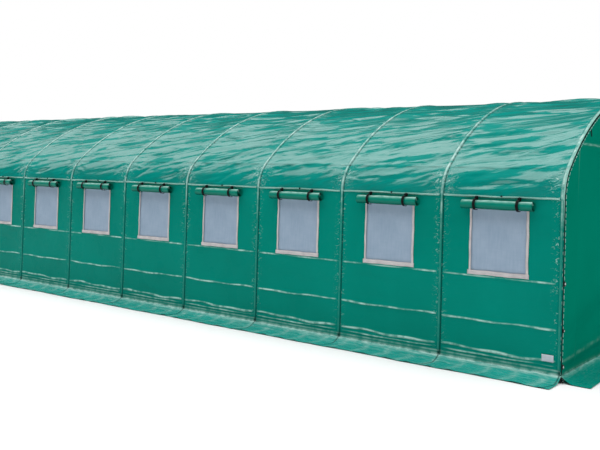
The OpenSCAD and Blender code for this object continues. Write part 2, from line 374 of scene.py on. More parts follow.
def tape(name, low, high, roughness, rib=260.0, shine=0.4):
    """Woven tape, ribbed across its length."""
    n = Nodes(name, roughness, Specular_IOR_Level=shine)
    place = n.coordinates("Object")
    soil = n.noise(place, 14.0, 4.0)
    n.link(n.ramp(n.spread(soil, 0.3, 0.7), (0.0, low), (1.0, high)), "Base Color")
    n.link(n.bump(n.threads(place, rib, 0.5, "DIAGONAL"), 0.4, 0.0006), "Normal")
    return n.mat


def zinc():
    """Galvanised tube: faint spangle under a satin skin."""
    n = Nodes("zinc_tube", 0.38, Metallic=1.0)
    place = n.coordinates("Object")
    spangle = n.add("ShaderNodeTexVoronoi", {"Vector": place, "Scale": 90.0}).outputs["Color"]
    tone = n.noise(place, 9.0, 4.0)
    greys = n.ramp(n.spread(tone, 0.3, 0.7), (0.0, (0.42, 0.43, 0.44)), (1.0, (0.60, 0.61, 0.62)))
    n.link(greys, "Base Color")
    n.link(n.spread(n.noise(place, 30.0, 3.0), 0.3, 0.7, 0.30, 0.50), "Roughness")
    n.link(n.bump(spangle, 0.12, 0.001), "Normal")
    return n.mat


def hard(name, low, high, roughness):
    """A small moulded fitting, with scuffs."""
    n = Nodes(name, roughness, Specular_IOR_Level=0.2)
    place = n.coordinates("Object")
    scuff = n.noise(place, 60.0, 4.0)
    n.link(n.ramp(n.spread(scuff, 0.35, 0.65), (0.0, low), (1.0, high)), "Base Color")
    n.link(n.bump(scuff, 0.2, 0.001), "Normal")
    return n.mat


ROOF_FILM = film("roof_film", (0.001, 0.235, 0.195), (0.003, 0.275, 0.232), 0.45, 0.22, 0.92,
                 (0.12, 0.22), dull=0.02)
WALL_FILM = film("wall_film", (0.0002, 0.210, 0.160), (0.0005, 0.250, 0.193), 0.14, 0.10, 0.02)
END_FILM = film("end_film", (0.0002, 0.180, 0.116), (0.0004, 0.206, 0.136), 0.0, 0.35, 0.0, (0.60, 0.70))
SKIRT_FILM = film("skirt_film", (0.003, 0.300, 0.245), (0.012, 0.390, 0.330), 0.55, 0.12, 0.8,
                  (0.2, 0.34), dull=0.05)
ROLL_FILM = film("rolled_film", (0.0003, 0.190, 0.130), (0.0006, 0.230, 0.165), 0.0, 0.02, 0.12,
                 (0.20, 0.28))
NET = net_cloth()
BINDING = tape("binding_tape", (0.50, 0.47, 0.48), (0.66, 0.62, 0.62), 0.7)
BLACK_TAPE = tape("black_tape", (0.002, 0.003, 0.003), (0.008, 0.009, 0.010), 0.7, shine=0.12)
LACING = tape("lacing_cord", (0.12, 0.40, 0.34), (0.34, 0.60, 0.54), 0.5, 500.0)
ZINC = zinc()
BLACK_KNOB = hard("black_knob", (0.004, 0.004, 0.005), (0.012, 0.012, 0.013), 0.45)
PALE_CAP = hard("pale_cap", (0.55, 0.66, 0.64), (0.70, 0.78, 0.76), 0.35)
LABEL = tape("label_cloth", (0.50, 0.56, 0.64), (0.64, 0.68, 0.74), 0.6, 400.0)


# ---------------------------------------------------------------- making pieces


# What a cloth carries past its shape: a painted highlight, a painted shade, and where it is gathered
SHADES = ("painted_highlight", "painted_shade", "gathered")


def start():
    """Leaves edit mode and clears the selection, before a primitive is added."""
    if bpy.context.object and bpy.context.object.mode != "OBJECT":
        bpy.ops.object.mode_set(mode="OBJECT")
    bpy.ops.object.select_all(action="DESELECT")


def pick(*objs):
    """Selects these and nothing else, with the first one active."""
    start()
    for obj in objs:
        obj.select_set(True)
    bpy.context.view_layer.objects.active = objs[0]


def set_in_place(obj):
    """Puts an object's place, turn and scale into its mesh."""
    pick(obj)
    bpy.ops.object.transform_apply(location=True, rotation=True, scale=True)


def settle(obj, name, material):
    """Names a finished piece, gives it its material and slot, and makes it ride."""
    set_in_place(obj)
    obj.name = name
    obj.data.name = name
    obj.data.materials.clear()
    obj.data.materials.append(material)
    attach(obj, root)
    return obj


def joined(parts):
    """One object out of several."""
    pick(*parts)
    if len(parts) > 1:
        bpy.ops.object.join()
    return parts[0]


def join(parts, name, material):
    return settle(joined(parts), name, material)


def copy_to(obj, turn):
    """A copy of a piece with its own mesh, carried by a matrix."""
    twin = obj.copy()
    twin.data = obj.data.copy()
    twin.data.transform(turn)
    if turn.determinant() < 0:
        twin.data.flip_normals()
    bpy.context.scene.collection.objects.link(twin)
    return twin


def cloth_grid(us, vs, place, cut_from=0.0):
    """A grid with a column at each of us and a row at each of vs, laid out by place(u, v), with its UV
    map in metres along a bolt of cloth, cut_from metres along it. What place returns past x, y and z
    goes to SHADES in turn."""
    start()
    bpy.ops.mesh.primitive_grid_add(x_subdivisions=len(us) - 1, y_subdivisions=len(vs) - 1, size=2)
    obj = bpy.context.object
    mesh = obj.data
    flat = np.empty(len(mesh.vertices) * 3)
    mesh.vertices.foreach_get("co", flat)
    flat = flat.reshape(-1, 3)
    column = np.rint((flat[:, 0] + 1) / 2 * (len(us) - 1)).astype(int)
    row = np.rint((flat[:, 1] + 1) / 2 * (len(vs) - 1)).astype(int)
    u, v = np.asarray(us)[column], np.asarray(vs)[row]
    x, y, z, *shades = (np.broadcast_to(a, u.shape) for a in place(u, v))
    mesh.vertices.foreach_set("co", np.column_stack([x, y, z]).ravel())
    corner = np.empty(len(mesh.loops), int)
    mesh.loops.foreach_get("vertex_index", corner)
    mesh.uv_layers[0].data.foreach_set("uv", np.column_stack([u[corner] + cut_from, v[corner]]).ravel())
    for name, shade in zip(SHADES, shades):
        mesh.attributes.new(name, "FLOAT", "POINT").data.foreach_set("value", np.clip(shade, 0, 1))
    mesh.update()
    mesh.shade_smooth()
    return obj


def thicken(obj, thickness):
    """Gives a strip its thickness, outwards from its back."""
    pick(obj)
    shell = obj.modifiers.new("thickness", "SOLIDIFY")
    shell.thickness = thickness
    shell.offset = 1.0
    bpy.ops.object.modifier_apply(modifier=shell.name)
    return obj


def turned(place, axis, profile, segments=16):
    """A turned fitting: a disc drawn out along its axis through each (radius, height) of its profile."""
    start()
    radius, height = profile[0]
    bpy.ops.mesh.primitive_circle_add(vertices=segments, radius=radius, fill_type="NGON",
                                      location=(0, 0, height))
    obj = bpy.context.object
    bpy.ops.object.mode_set(mode="EDIT")
    bpy.ops.mesh.select_all(action="SELECT")
    for wider, higher in profile[1:]:
        bpy.ops.mesh.extrude_region_move(TRANSFORM_OT_translate={"value": (0, 0, higher - height)})
        grow = wider / radius
        bpy.ops.transform.resize(value=(grow, grow, 1), center_override=(0, 0, higher))
        radius, height = wider, higher
    bpy.ops.mesh.select_all(action="SELECT")
    bpy.ops.mesh.normals_make_consistent(inside=False)
    bpy.ops.object.mode_set(mode="OBJECT")
    bpy.ops.object.shade_smooth_by_angle(angle=math.radians(40))
    turn = Vector(axis).to_track_quat("Z", "Y").to_matrix().to_4x4()
    obj.matrix_world = Matrix.Translation(place) @ turn
    set_in_place(obj)
    return obj


def block(size, place, bevel, turn=None):
    """A small block with eased edges."""
    start()
    bpy.ops.mesh.primitive_cube_add(size=1)
    obj = bpy.context.object
    obj.scale = size
    bpy.ops.object.transform_apply(scale=True)
    bpy.ops.object.mode_set(mode="EDIT")
    bpy.ops.mesh.select_all(action="SELECT")
    bpy.ops.mesh.bevel(offset=bevel, segments=1, affect="EDGES")
    bpy.ops.object.mode_set(mode="OBJECT")
    obj.matrix_world = Matrix.Translation(place) @ (turn.to_4x4() if turn else Matrix())
    set_in_place(obj)
    return obj


def face_outwards(obj, away_from, ways=Vector((1, 1, 1))):
    """Turns an open sheet's faces to point away from a point, or from the line that runs through it
    along the axis where ways is 0."""
    mesh = obj.data
    lean = sum(((f.center - away_from) * ways).dot(f.normal) * f.area for f in mesh.polygons)
    if lean < 0:
        mesh.flip_normals()


def cut_holes(obj, is_hole):
    """Deletes the faces whose middles lie in a hole, and the vertices left loose."""
    pick(obj)
    for vertex in obj.data.vertices:
        vertex.select = False
    for edge in obj.data.edges:
        edge.select = False
    for face in obj.data.polygons:
        face.select = bool(is_hole(face.center))
    bpy.ops.object.mode_set(mode="EDIT")
    bpy.ops.mesh.select_mode(type="FACE")
    bpy.ops.mesh.delete(type="FACE")
    bpy.ops.mesh.select_mode(type="VERT")
    bpy.ops.mesh.select_all(action="SELECT")
    bpy.ops.mesh.delete_loose()
    bpy.ops.object.mode_set(mode="OBJECT")


def steps(low, high, pitch, *near):
    """Even steps from low to high, with closer ones around each place in near."""
    count = max(2, round((high - low) / pitch))
    marks = list(np.linspace(low, high, count + 1))
    for centre, reach, fine in near:
        ring = np.arange(-reach, reach + fine / 2, fine) + centre
        marks = [m for m in marks if abs(m - centre) > reach + fine / 2 or m in (low, high)]
        marks += [m for m in ring if low < m < high]
    return merge(marks)


def merge(marks, least=0.0012):
    """The marks in order, without those closer than least to the one before."""
    kept = []
    for mark in sorted(marks):
        if not kept or mark - kept[-1] > least:
            kept.append(float(mark))
    return kept


def with_edges(marks, edges):
    """The marks, with the nearest one moved onto each edge."""
    marks = list(marks)
    for edge in edges:
        marks = [m for m in marks if abs(m - edge) > 0.004] + [edge]
    return sorted(marks)


# ---------------------------------------------------------------- creases


def bell(x, width):
    """1 where x is 0, dying down to nothing at about two widths."""
    return np.exp(-((x / width) ** 2))


def from_hoop(x):
    """Signed distance along X to the nearest hoop."""
    return x - hoop_xs[np.argmin(np.abs(x[:, None] - hoop_xs[None, :]), axis=1)]


def tent(b, width):
    """A fold's section: two flat faces that meet in a crisp line."""
    return np.clip(1 - np.sqrt(b * b + (0.12 * width) ** 2) / width, 0, None)


def folds_along(x, s, seeds):
    """Lens-shaped folds. Each seed is (x, s, length, width, height, slope, curve)."""
    out = np.zeros_like(x)
    for fx, fs, length, width, height, slope, curve in seeds:
        c, d = math.cos(slope), math.sin(slope)
        near = (np.abs(x - fx) < length * 0.55) & (np.abs(s - fs) < length * 0.55 * d + 3 * width + 0.02)
        a = (x[near] - fx) * c + (s[near] - fs) * d
        b = (s[near] - fs) * c - (x[near] - fx) * d - curve * a * a
        taper = np.cos(np.clip(a / length, -0.5, 0.5) * math.pi) ** 1.3
        out[near] += height * taper * tent(b, width * (0.35 + 0.65 * taper))
    return out


# Folds in a bay of the roof: long ones, short ones beside each hoop, and fans over the eave
LONG_FOLDS, HOOP_FOLDS, EAVE_FOLDS = 34, 30, 9
# and in a bay of a wall: puckers beside each hoop, and long soft ones
WALL_PUCKERS, WALL_FOLDS = 16, 8


def roof_seeds():
    """Long folds that climb towards +X, with shorter ones fanning out from the hoops."""
    seeds = []
    for x0 in hoop_xs[:-1]:
        for k in range(LONG_FOLDS):
            up = rng.uniform(0.06, roof_len - 0.08)
            steep = rng.uniform(0.05, 0.62) * (1 - 0.65 * up / roof_len)
            strong = k % 3 == 0
            width = rng.uniform(0.020, 0.034) if strong else rng.uniform(0.022, 0.050)
            steepness = rng.uniform(0.42, 0.62) if strong else rng.uniform(0.12, 0.30)
            seeds.append((
                x0 + rng.uniform(0.12, bay - 0.12), wall_len + up, rng.uniform(0.28, 0.75), width,
                width * steepness * rng.choice([-1, -1, 1]), steep, rng.uniform(-0.20, 0.20),
            ))
        for near, way in ((0.06, 1), (bay - 0.06, -1)):
            for _ in range(HOOP_FOLDS):
                up = rng.uniform(0.05, roof_len - 0.10)
                width = rng.uniform(0.012, 0.020)
                slope = rng.uniform(-0.25, 0.45) if way > 0 else rng.uniform(0.15, 0.85)
                seeds.append((
                    x0 + near + way * rng.uniform(-0.03, 0.10), wall_len + up, rng.uniform(0.12, 0.28),
                    width, width * rng.uniform(0.15, 0.35) * rng.choice([-1, 1]), slope,
                    rng.uniform(-0.8, 0.8),
                ))
            for _ in range(EAVE_FOLDS):
                width = rng.uniform(0.011, 0.018)
                seeds.append((
                    x0 + near + way * rng.uniform(-0.02, 0.12), wall_len + rng.uniform(0.05, 0.20),
                    rng.uniform(0.12, 0.24), width, width * rng.uniform(0.40, 0.65),
                    -way * rng.uniform(0.35, 0.95), rng.uniform(-0.6, 0.6),
                ))
    return seeds


def wall_seeds():
    """Short puckers beside the hoops and under the windows."""
    seeds = []
    for x0 in hoop_xs[:-1]:
        for near, way in ((0.045, 1), (bay - 0.045, -1)):
            for _ in range(WALL_PUCKERS):
                seeds.append((
                    x0 + near + way * rng.uniform(-0.015, 0.05), rng.uniform(0.15, wall_len - 0.03),
                    rng.uniform(0.05, 0.12), rng.uniform(0.006, 0.011), rng.uniform(0.0015, 0.003),
                    rng.uniform(-0.6, 0.6), rng.uniform(-1.5, 1.5),
                ))
        for _ in range(WALL_FOLDS):
            seeds.append((
                x0 + rng.uniform(0.15, bay - 0.15), rng.uniform(0.1, wall_len - 0.1),
                rng.uniform(0.25, 0.6), rng.uniform(0.02, 0.05),
                rng.uniform(0.001, 0.003) * rng.choice([-1, 1]),
                rng.uniform(-0.15, 0.35), rng.uniform(-0.2, 0.2),
            ))
    return seeds


def over_hoops(x):
    """The sheet stretched over a hoop, with a crease along its +X side."""
    d = from_hoop(x)
    return 0.0052 * bell(d, 0.0090) - 0.0032 * bell(d - 0.0155, 0.005) - 0.0010 * bell(d + 0.018, 0.006)


def slack(x, v):
    """1 in the middle of a panel and 0 at its tubes, with v from 0 to 1 across the panel."""
    along = np.clip(np.abs(from_hoop(x)) / (bay / 2), 0, 1)
    return np.sin(along * math.pi / 2) ** 0.8 * np.sin(np.clip(v, 0, 1) * math.pi) ** 0.7


def tube_line(x, s, at, height, width, wander, phase):
    """The ridge that a tube between the hoops presses into the sheet, uneven along its length."""
    wobble = wander * (np.sin(x * 7.1 + phase) * 0.6 + np.sin(x * 17.3 + 2 * phase) * 0.4)
    beat = 0.75 + 0.25 * np.sin(x * 11.7 + 3 * phase) * np.sin(x * 4.3 + phase)
    gap = 1 - bell(from_hoop(x), 0.030)
    return height * beat * gap * bell(s - at - wobble, width)


# ---------------------------------------------------------------- the sheet

BASE_LINE, LOW_LINE, WAIST_LINE = LINES = [
    height_to_s(rail_z[name]) for name in ("base_rail", "low_rail", "waist_rail")
]
HEM_LINE = BASE_LINE + 0.030  # the hem's welded edge, over the base rail
HEM_FINE, RAIL_FINE = (0.020, 0.004), (0.024, 0.004)  # how far round a line rows are closer, and how close
HOOP_STEPS = [(x, 0.028, 0.004) for x in hoop_xs]
ROOF_COLUMN, ROOF_ROW = 0.0250, 0.0105
WALL_COLUMN, WALL_ROW = 0.0230, 0.0200
END_COLUMN, END_ROWS, GABLE_ROWS = 0.025, 88, 26
SET_IN = 0.001  # how far the film lies inside the outer face of the CAD's sheet
BOLT = {FRONT: 0.0, BACK: 13.7}  # where along the bolt each side's film was cut


def shades(x, painted_highlight, top, width, reach=0.075):
    """The painted highlight, the painted shade and how gathered the sheet is at x: a highlight over each
    hoop, and shade along the crease beside it.
    """
    d = from_hoop(x)
    # painted shade along the crease on each hoop's +X side, and a fainter line on its other side
    painted_shade = 0.95 * bell(d - 0.0145, 0.0055) + 0.20 * bell(d + 0.015, 0.004)
    gathered = np.clip(1.15 - np.abs(d) / reach, 0, 1) * (np.abs(d) > 0.012)
    # a painted highlight over the top of each hoop
    over = np.clip(1.6 * bell(d + 0.001, width), 0, 1) * top
    return np.maximum(painted_highlight, over), painted_shade, gathered


def roof_half(side):
    """Half of the roof sheet, from the eave to the ridge, one continuous sheet along the tunnel."""
    seeds = roof_seeds()
    hinge = wall_len + bend_len

    def place(x, s):
        hold = 1 - bell(from_hoop(x), 0.018)
        hold = hold * (1 - bell(s - wall_len, 0.026)) * (1 - bell(s - wall_len - roof_len, 0.090))
        hold = hold * (1 - 0.9 * bell(s - hinge, 0.022))
        out = over_hoops(x) + folds_along(x, s, seeds) * hold
        out += tube_line(x, s, hinge, 0.0030, 0.010, 0.002, 1.0 + side)
        out += tube_line(x, s, wall_len + roof_len, 0.0020, 0.012, 0.0, 2.0)
        out -= 0.004 * slack(x, (s - wall_len) / bend_len) * (s < hinge)
        out -= 0.013 * slack(x, (s - hinge) / crown_len) * (s >= hinge)
        y, z = section(s, out - SET_IN, side)
        # Painted highlight over each hoop; painted shade along its +X side, ticked along its length, and a
        # painted shade line just under the shoulder tube
        painted_highlight, painted_shade, gathered = shades(x, 0 * x, 0.85, 0.0085)
        painted_shade = painted_shade * (0.72 + 0.28 * np.sin(s * 157.0))
        fan = bell(s - wall_len - 0.10, 0.12)
        gathered = np.maximum(0.3 * gathered, fan * np.clip(1.3 - np.abs(from_hoop(x)) / 0.11, 0, 1))
        painted_shade = painted_shade + 0.5 * bell(s - hinge + 0.010, 0.004) * (0.5 + 0.5 * np.sin(x * 31.0))
        return x, y, z, painted_highlight, painted_shade, gathered

    us = steps(-end_x, end_x, ROOF_COLUMN, *HOOP_STEPS)
    vs = steps(wall_len, wall_len + roof_len, ROOF_ROW)
    obj = cloth_grid(us, vs, place, BOLT[side])
    face_outwards(obj, Vector((0, 0, 0)))
    name = SIDE_NAMES[side]
    settle(obj, f"cover_roof_{name}", ROOF_FILM)
    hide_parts(f"roof_sheet_{name}", f"shoulder_sheet_{name}")
    return obj


def side_wall(side):
    """A long wall from the ground fold to the eave, with its windows cut through."""
    seeds = wall_seeds()

    def in_window(x, z):
        return window_low_z < z < window_high_z and np.min(np.abs(bay_xs - x)) < window_half_w

    def place(x, s):
        d = np.abs(x - bay_xs[np.argmin(np.abs(x[:, None] - bay_xs[None, :]), axis=1)])
        z = s + fold_z
        inside = np.clip((window_half_w + 0.05 - d) / 0.03, 0, 1)
        inside = inside * np.clip((z - window_low_z + 0.05) / 0.03, 0, 1)
        calm = 1 - inside * np.clip((window_high_z + 0.08 - z) / 0.03, 0, 1)
        out = 0.8 * over_hoops(x) + folds_along(x, s, seeds) * calm * (1 - bell(from_hoop(x), 0.016))
        lines = [
            tube_line(x, s, HEM_LINE, 0.0055, 0.010, 0.010, 0.3),
            tube_line(x, s, BASE_LINE, 0.0040, 0.007, 0.003, 1.3),
            tube_line(x, s, LOW_LINE, 0.0050, 0.008, 0.006, 2.1),
            tube_line(x, s, WAIST_LINE, 0.0050, 0.008, 0.001, 4.0) * (0.25 + 0.75 * calm),
            tube_line(x, s, WAIST_LINE + 0.026, 0.0030, 0.006, 0.003, 5.0) * calm
            * np.clip(1.4 - d / 0.32, 0, 1),
        ]
        out += sum(lines)
        for low, high in ((BASE_LINE, LOW_LINE), (LOW_LINE, WAIST_LINE), (WAIST_LINE, wall_len)):
            between = (s > low) & (s <= high)
            out -= 0.006 * slack(x, (s - low) / (high - low)) * between * (0.3 + 0.7 * calm)
        on_rail = np.min(np.abs(s[:, None] - np.array(LINES)[None, :]), axis=1) < 0.017
        out = np.where(on_rail, np.maximum(out, -0.0004), out)  # no crease goes in through a rail
        y, z = section(s, out - SET_IN, side)
        # Painted highlights along the tube ridges, the hem line and the ground fold
        ridge_highlights = np.maximum.reduce([np.clip((line - 0.0018) / 0.0014, 0, 1) for line in lines])
        ridge_highlights = np.maximum(ridge_highlights, np.maximum(bell(s, 0.012), 0.6 * bell(s - 0.030, 0.004)))
        # the painted highlight over each hoop is faint low on the wall and strong near the eave, where the
        # overhead light falls
        hoop_highlight_up_wall = 0.75 * np.clip((s - 0.85) / 0.25, 0.10, 1)
        painted_highlight, painted_shade, gathered = shades(x, ridge_highlights, hoop_highlight_up_wall, 0.0055, 0.060)
        # a painted shadow under each window's bottom tape, and painted shade at each hoop's foot
        under = 0.6 * bell(s - WAIST_LINE + 0.014, 0.005) * (1 - calm)
        foot = bell(from_hoop(x) - 0.006, 0.013) * bell(s - 0.016, 0.022)
        in_last_half_bay = x > hoop_xs[-1] - bay / 2
        gathered = gathered * (0.45 + 0.35 * in_last_half_bay) * np.clip(0.4 + s, 0.5, 1.2)
        return x, y, z, painted_highlight, np.maximum.reduce([painted_shade, under, foot]), gathered

    window_sides = [x + end * window_half_w for x in bay_xs for end in (LEFT, RIGHT)]
    us = with_edges(steps(-end_x, end_x, WALL_COLUMN, *HOOP_STEPS), window_sides)
    near = [(HEM_LINE, *HEM_FINE), (0.0, *HEM_FINE)] + [(line, *RAIL_FINE) for line in LINES]
    vs = with_edges(steps(0, wall_len, WALL_ROW, *near),
                    [height_to_s(window_low_z), height_to_s(window_high_z)])
    obj = cloth_grid(us, vs, place, BOLT[side])
    face_outwards(obj, Vector((0, 0, 0.5)))
    cut_holes(obj, lambda c: in_window(c.x, c.z))
    name = SIDE_NAMES[side]
    settle(obj, f"cover_wall_{name}", WALL_FILM)
    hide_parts(f"side_wall_{name}")
    return obj


def eave_seams(side):
    """The welded seam along the eave, a raised bead in each bay."""
    vs = np.linspace(-1, 1, 7)

    def place(x, v):
        wander = 0.0015 * np.sin(x * 9.0) + 0.001 * np.sin(x * 23.0)
        y, z = section(wall_len + 0.0065 * v + wander, 0.0005 + 0.0060 * np.sqrt(1.001 - v * v), side)
        # the bead is painted pale along its length, as a highlight
        return x, y, z, 0.85 + 0.15 * np.sin(x * 13.0), 0, 0

    parts = []
    for x0 in hoop_xs[:-1]:
        bead = cloth_grid(steps(x0 + 0.018, x0 + bay - 0.018, 0.03), vs, place)
        face_outwards(bead, Vector((0, 0, 0.5)))
        parts.append(bead)
    return join(parts, f"eave_seam_{SIDE_NAMES[side]}", WALL_FILM)


def arch_top(y):
    """Height of the sheet's outer face at y, on an end."""
    a = np.abs(y)
    crown = crown_z + np.sqrt(np.clip(crown_r**2 - a**2, 0, None))
    bend = eave_z + np.sqrt(np.clip(SHOULDER_R**2 - np.clip(a - shoulder_y, 0, None) ** 2, 0, None))
    return np.where(a < crown_r * math.cos(shoulder_a), crown, bend)


END_TRIM = 0.0005  # an end wall is cut this much inside the section's outline


def end_wall(end):
    """An end wall, cut to the arch, with the doorway open in it. Its rows run level from the ground to
    the top of the doorway, where v is 1, and then close up under the arch, where v is 2."""
    y_in = half_w - END_TRIM

    def place(y, v):
        top = arch_top(y) - END_TRIM
        z = fold_z + (door_top - fold_z) * np.clip(v, 0, 1)
        z = z + (np.maximum(top, eave_z) - door_top) * np.clip(v - 1, 0, 1)
        z = np.where(top < door_top, fold_z + (np.minimum(top, door_top) - fold_z) * v / 2, z)
        side_room = half_w - np.abs(y)
        low_fold = z - 0.13 - 0.06 * side_room
        out = 0.0030 * np.sin(z * 5.0 + y * 2.4) * np.sin(y * 3.1 + 1.0) - 0.0015
        out += 0.0020 * bell(z - 0.22 - 0.30 * side_room, 0.022)
        out += 0.0014 * bell(z - 0.60 - 0.20 * side_room, 0.022)
        out += 0.0012 * bell(low_fold, 0.012)
        seam = bell(z - header_z, 0.006) * (np.abs(y) > door_half)
        out += 0.0042 * seam
        out = np.maximum(out, -0.0010) * np.clip(np.minimum(side_room, top - z) / 0.05, 0, 1)
        # painted highlights on the header seam and the folds, and painted shade below the low fold and in
        # a soft band across the wall
        fold = 0.35 * bell(z - fold_z, 0.012) + 0.14 * bell(low_fold, 0.010)
        dark = 0.22 * bell(low_fold + 0.03, 0.020) + 0.10 * bell(z - 0.30 - 0.20 * side_room, 0.07)
        return end * (end_x - 0.0015 + out), y, z, np.maximum(0.45 * seam, fold), dark, 0 * y

    ys = with_edges(steps(-y_in, y_in, END_COLUMN, (-y_in, 0.1, 0.006), (y_in, 0.1, 0.006)),
                    [-door_half, door_half])
    above = header_z - door_top
    fine = [1 + (above + d) / (ridge_z - door_top) for d in (-0.008, -0.004, 0, 0.004, 0.008)]
    rows = list(np.linspace(0, 1, END_ROWS)) + list(np.linspace(1, 2, GABLE_ROWS))
    vs = with_edges(merge(rows + fine), [1.0])
    obj = cloth_grid(ys, vs, place)
    face_outwards(obj, Vector((0, 0, 1)))
    cut_holes(obj, lambda c: abs(c.y) < door_half and c.z < door_top)
    name = END_NAMES[end]
    settle(obj, f"cover_end_{name}", END_FILM)
    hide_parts(*[f"end_wall_{name}_{part}" for part in ("front", "back", "top")])
    return obj


# ---------------------------------------------------------------- windows, for one bay, then copied


def window_net(x0, side):
    """A net, sewn on behind the window's edge, with a little belly."""
    reach = window_half_w + NET_LAP
    low, high = window_low_z - NET_LAP, window_high_z + NET_LAP

    def place(u, v):
        belly = np.cos(u / reach * math.pi / 2) * np.sin((v - low) / (high - low) * math.pi)
        slack_y = 0.0045 * belly + 0.0010 * np.sin(u * 60 + 3 * v) * belly
        return x0 + u, side * (half_w - 0.005 - slack_y), v

    obj = cloth_grid(np.linspace(-reach, reach, 19), np.linspace(low, high, 21), place)
    face_outwards(obj, Vector((x0, 0, high)))
    return obj


def window_binding(x0, side):
    """Woven tape round a window: two side tapes and a wider one along the bottom."""
    parts = []

    def wave(t, k):
        return 0.0012 * np.sin(t * 21 + k) + 0.0007 * np.sin(t * 53 + 2 * k)

    for end, width in ((LEFT, 0.015), (RIGHT, 0.018)):
        inner = window_half_w - 0.005

        def place(u, v):
            x = x0 + end * (inner + u * width) + wave(v, end)
            lift = 0.0008 * np.sin(u * math.pi) + 0.3 * np.abs(wave(v, end + 5))
            return x, side * (half_w + 0.0004 + lift), v

        up = np.linspace(window_low_z - 0.006, window_high_z, 26)
        parts.append(cloth_grid(np.linspace(0, 1, 5), up, place))
    half = window_half_w + 0.019

    def place(u, v):
        drop = 0.0015 * np.sin(u * 9) + wave(u, 3.0)
        z = window_low_z + 0.005 - v * 0.031 + drop
        return x0 + u, side * (half_w + 0.0016 + 0.0010 * np.sin(v * math.pi)), z

    parts.append(cloth_grid(np.linspace(-half, half, 30), np.linspace(0, 1, 6), place))
    for part in parts:
        face_outwards(part, Vector((x0, 0, window_low_z)))
        thicken(part, 0.0012)
    return joined(parts)


ROLL_TURNS, ROLL_CORE, ROLL_STEPS = 3.7, 0.0105, 26
STRAP_FROM, STRAP_TO, TAPE_HALF_W = math.radians(118), math.radians(-112), 0.0100

# Turned fittings, each a list of (radius, height)
KNOB = [(0.0100, -0.006), (0.0110, 0.002), (0.0140, 0.005), (0.0145, 0.011), (0.0122, 0.016),
        (0.0062, 0.0190)]
BUTTON = [(0.006, -0.003), (0.007, 0.002), (0.006, 0.004)]
WASHER = [(0.013, -0.002), (0.0145, 0.003), (0.0120, 0.0065), (0.0075, 0.0070)]
BOLT_CAP = [(0.0068, 0), (0.0060, 0.0028), (0.0030, 0.0040)]
SLEEVE = [(0.0130, 0.0), (0.0138, 0.002), (0.0138, 0.036), (0.0130, 0.038)]
FOOT = [(0.0165, 0.0005), (0.0175, 0.003), (0.0165, 0.030), (0.0135, 0.034)]


def roll_shades(angle, painted_highlight):
    """A rolled flap has a painted highlight near its top, and painted shade near its underside."""
    angle = angle % (2 * math.pi)
    return painted_highlight * bell(angle - 1.10, 0.40), 0.6 * bell(angle - 5.1, 0.7), 0


def spiral(turn, radius, along, taut):
    """Radius of a rolled flap after a number of turns inwards from its outer face."""
    fall = (radius - ROLL_CORE) * turn / ROLL_TURNS
    loose = 0.0010 * np.sin(along * 17.0 + turn * 3.0) + 0.0005 * np.sin(along * 41.0 - turn * 4.0)
    return radius - 0.0012 - fall - taut * (1 - turn / ROLL_TURNS) + loose * np.clip(turn * 8, 0, 1)


def window_roll(x0, side):
    """A rolled-up flap: down from the eave behind the roll, under it, and round and in."""
    tail = np.linspace(eave_z - 0.001 - roll_z, 0, 5)[:-1]
    turns = np.linspace(0, ROLL_TURNS, int(ROLL_STEPS * ROLL_TURNS))
    steps_in = list(-tail) + list(turns + 1e-6)

    def place(u, v):
        straight = v < 0
        taut = 0.0030 * sum(bell(u - m * strap_half, 0.014) for m in (-1, 1))
        radius = spiral(np.clip(v, 0, None), roll_r, u, taut)
        angle = math.pi + np.clip(v, 0, None) * 2 * math.pi
        y = roll_y - half_w + radius * np.cos(angle)
        z = roll_z + radius * np.sin(angle)
        y = np.where(straight, roll_y - half_w - roll_r + 0.0012, y)
        z = np.where(straight, roll_z - v, z)
        wide = roll_half * (1 + 0.010 * np.sin(v * 7.0)) - 0.004
        return x0 + u / roll_half * wide, side * (half_w + y), z, *roll_shades(angle, 0.85)

    columns = steps(-roll_half, roll_half, 0.030, (-strap_half, 0.018, 0.009), (strap_half, 0.018, 0.009))
    obj = cloth_grid(columns, steps_in, place)
    face_outwards(obj, Vector((0, side * roll_y, roll_z)), Vector((0, 1, 1)))
    return obj


def roll_strap(centre, along, out_way, radius):
    """A tape ring round a roll, from its knob at the back of the top, over the front and under."""
    outward, up = Vector(out_way), Vector((0, 0, 1))

    def place(u, v):
        angle = STRAP_FROM + (STRAP_TO - STRAP_FROM) * v
        r = radius + 0.0004 + 0.0006 * np.sin(v * 9)
        start_at, wide, deep, tall = (np.array(way)[:, None] for way in (centre, along, outward, up))
        across = start_at + wide * u * TAPE_HALF_W
        return tuple(across + deep * r * np.cos(angle) + tall * r * np.sin(angle))

    band = cloth_grid(np.linspace(-1, 1, 5), np.linspace(0, 1, 26), place)
    face_outwards(band, Vector(centre))
    thicken(band, 0.0026)
    top = Vector(centre) + outward * (radius * math.cos(STRAP_FROM))
    top = top + up * (radius * math.sin(STRAP_FROM))
    return [band, turned(top + up * 0.001, up * 0.9 + outward * 0.35, KNOB, 14)]


